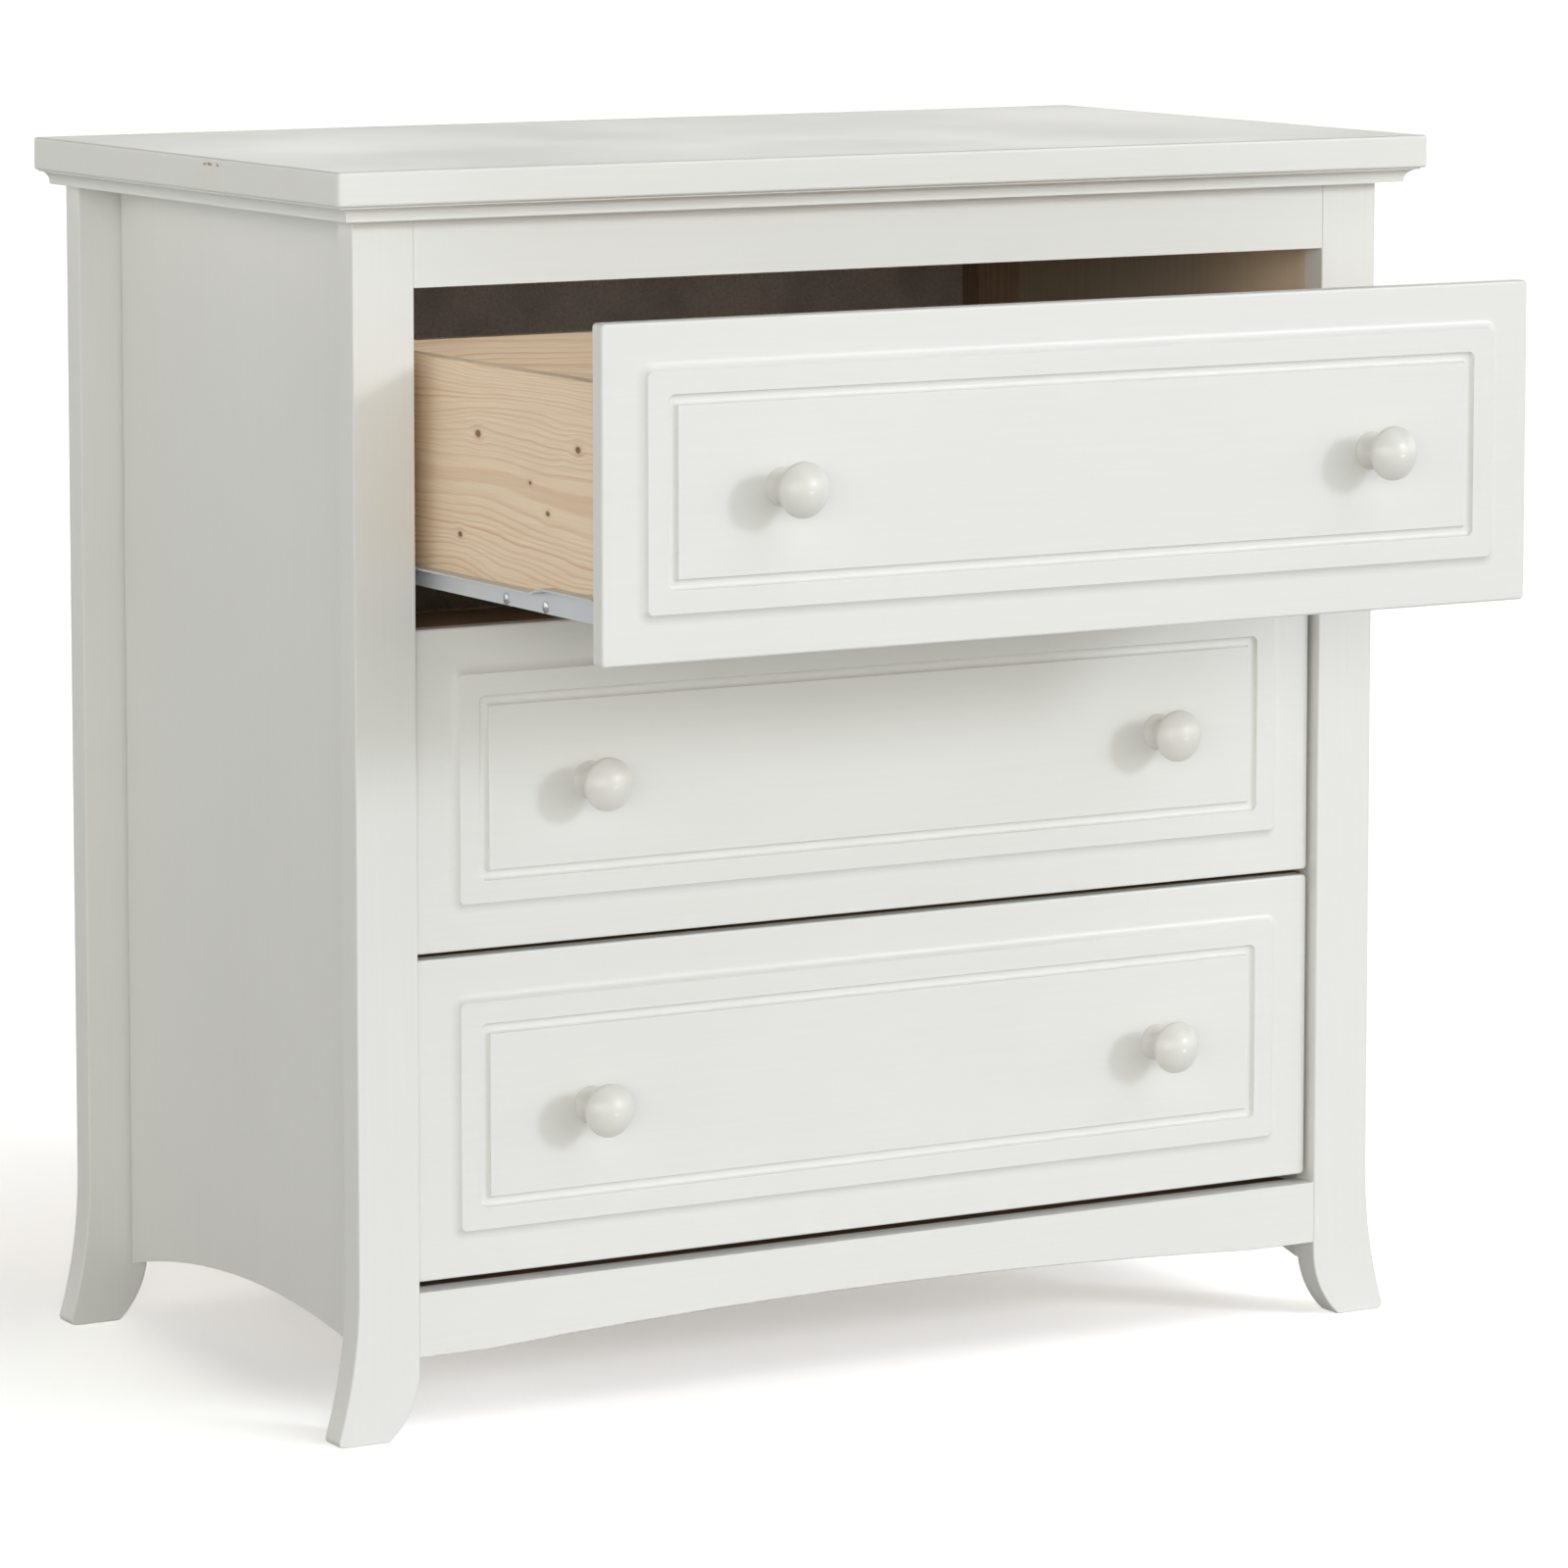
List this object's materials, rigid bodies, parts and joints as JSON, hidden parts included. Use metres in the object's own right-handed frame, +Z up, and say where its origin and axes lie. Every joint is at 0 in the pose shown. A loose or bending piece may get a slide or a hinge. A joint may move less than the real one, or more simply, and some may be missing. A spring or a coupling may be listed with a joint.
{
  "type": "three-drawer dresser",
  "caption": "Painted dresser with drawers on roller slides, a moulded top edge, framed drawer fronts with round knobs and flared feet; top drawer open.",
  "frame": {"origin": "bottom centre of the box round the whole dresser as it is stored, with its top drawer open: on the floor, midway between the ends, and midway between the open drawer's knobs and the rear legs' back faces, which is 80.3 mm behind the front legs' front faces", "axes": "+X to the right seen from the front, along the 872 mm width; -Y is the front, the way the drawers open; +Z up, out of the top"},
  "size_m": [0.872, 0.7434, 0.86],
  "materials": {
    "white_paint": "satin white paint on solid timber and fibreboard",
    "pine": "clear satin lacquer on knotty pine",
    "raw_timber": "unpainted brown softwood",
    "hardboard": "dark speckled hardboard",
    "drawer_bottom_board": "thin plywood, sealed",
    "slide_steel": "pale grey powder-coated steel",
    "zinc_screw": "zinc-plated steel",
    "nylon": "white nylon"
  },
  "bodies": {
    "cabinet": {"top_panel": "white_paint", "cornice_front": "white_paint", "cornice_left": "white_paint", "cornice_right": "white_paint", "front_left_leg": "white_paint", "front_right_leg": "white_paint", "rear_left_leg": "white_paint", "rear_right_leg": "white_paint", "left_side_panel": "white_paint", "right_side_panel": "white_paint", "top_front_rail": "white_paint", "front_apron": "white_paint", "upper_drawer_divider": "raw_timber", "lower_drawer_divider": "raw_timber", "bottom_stretcher": "raw_timber", "rear_left_batten": "raw_timber", "rear_right_batten": "raw_timber", "top_back_rail": "raw_timber", "bottom_back_rail": "raw_timber", "back_panel": "hardboard", "top_cabinet_rails": "slide_steel", "middle_cabinet_rails": "slide_steel", "bottom_cabinet_rails": "slide_steel", "cabinet_rail_screws": "zinc_screw"},
    "top_drawer": {"top_drawer_front": "white_paint", "top_drawer_knobs": "white_paint", "top_drawer_knob_screws": "zinc_screw", "top_drawer_left_side": "pine", "top_drawer_right_side": "pine", "top_drawer_back": "pine", "top_drawer_bottom": "drawer_bottom_board", "top_drawer_left_rail": "slide_steel", "top_drawer_right_rail": "slide_steel", "top_drawer_rail_screws": "zinc_screw"},
    "top_front_rollers": {"top_front_rollers": "nylon"},
    "top_rear_rollers": {"top_rear_rollers": "nylon"},
    "middle_drawer": {"middle_drawer_front": "white_paint", "middle_drawer_knobs": "white_paint", "middle_drawer_knob_screws": "zinc_screw", "middle_drawer_left_side": "pine", "middle_drawer_right_side": "pine", "middle_drawer_back": "pine", "middle_drawer_bottom": "drawer_bottom_board", "middle_drawer_left_rail": "slide_steel", "middle_drawer_right_rail": "slide_steel", "middle_drawer_rail_screws": "zinc_screw"},
    "middle_front_rollers": {"middle_front_rollers": "nylon"},
    "middle_rear_rollers": {"middle_rear_rollers": "nylon"},
    "bottom_drawer": {"bottom_drawer_front": "white_paint", "bottom_drawer_knobs": "white_paint", "bottom_drawer_knob_screws": "zinc_screw", "bottom_drawer_left_side": "pine", "bottom_drawer_right_side": "pine", "bottom_drawer_back": "pine", "bottom_drawer_bottom": "drawer_bottom_board", "bottom_drawer_left_rail": "slide_steel", "bottom_drawer_right_rail": "slide_steel", "bottom_drawer_rail_screws": "zinc_screw"},
    "bottom_front_rollers": {"bottom_front_rollers": "nylon"},
    "bottom_rear_rollers": {"bottom_rear_rollers": "nylon"}
  },
  "joints": [
    {"name": "top_drawer_slide", "type": "slide", "parent": "cabinet", "child": "top_drawer", "axis": [0, -1, 0], "range_m": [-0.26, 0]},
    {"name": "top_front_roller_spin", "type": "hinge", "parent": "cabinet", "child": "top_front_rollers", "pos_m": [0, -0.04425, 0.5821], "axis": [1, 0, 0], "range_deg": [-1760, 10]},
    {"name": "top_rear_roller_spin", "type": "hinge", "parent": "top_drawer", "child": "top_rear_rollers", "pos_m": [0, 0.01875, 0.5821], "axis": [1, 0, 0], "range_deg": [-1760, 10]},
    {"name": "middle_drawer_slide", "type": "slide", "parent": "cabinet", "child": "middle_drawer", "axis": [0, -1, 0], "range_m": [0, 0.26]},
    {"name": "middle_front_roller_spin", "type": "hinge", "parent": "cabinet", "child": "middle_front_rollers", "pos_m": [0, -0.04425, 0.3581], "axis": [1, 0, 0], "range_deg": [-10, 1760]},
    {"name": "middle_rear_roller_spin", "type": "hinge", "parent": "middle_drawer", "child": "middle_rear_rollers", "pos_m": [0, 0.27875, 0.3581], "axis": [1, 0, 0], "range_deg": [-10, 1760]},
    {"name": "bottom_drawer_slide", "type": "slide", "parent": "cabinet", "child": "bottom_drawer", "axis": [0, -1, 0], "range_m": [0, 0.26]},
    {"name": "bottom_front_roller_spin", "type": "hinge", "parent": "cabinet", "child": "bottom_front_rollers", "pos_m": [0, -0.04425, 0.1341], "axis": [1, 0, 0], "range_deg": [-10, 1760]},
    {"name": "bottom_rear_roller_spin", "type": "hinge", "parent": "bottom_drawer", "child": "bottom_rear_rollers", "pos_m": [0, 0.27875, 0.1341], "axis": [1, 0, 0], "range_deg": [-10, 1760]}
  ],
  "couplings": [
    {"joint": "top_front_roller_spin", "follows": "top_drawer_slide", "rad_per_m": 117.65},
    {"joint": "top_rear_roller_spin", "follows": "top_drawer_slide", "rad_per_m": 117.65},
    {"joint": "middle_front_roller_spin", "follows": "middle_drawer_slide", "rad_per_m": 117.65},
    {"joint": "middle_rear_roller_spin", "follows": "middle_drawer_slide", "rad_per_m": 117.65},
    {"joint": "bottom_front_roller_spin", "follows": "bottom_drawer_slide", "rad_per_m": 117.65},
    {"joint": "bottom_rear_roller_spin", "follows": "bottom_drawer_slide", "rad_per_m": 117.65}
  ]
}
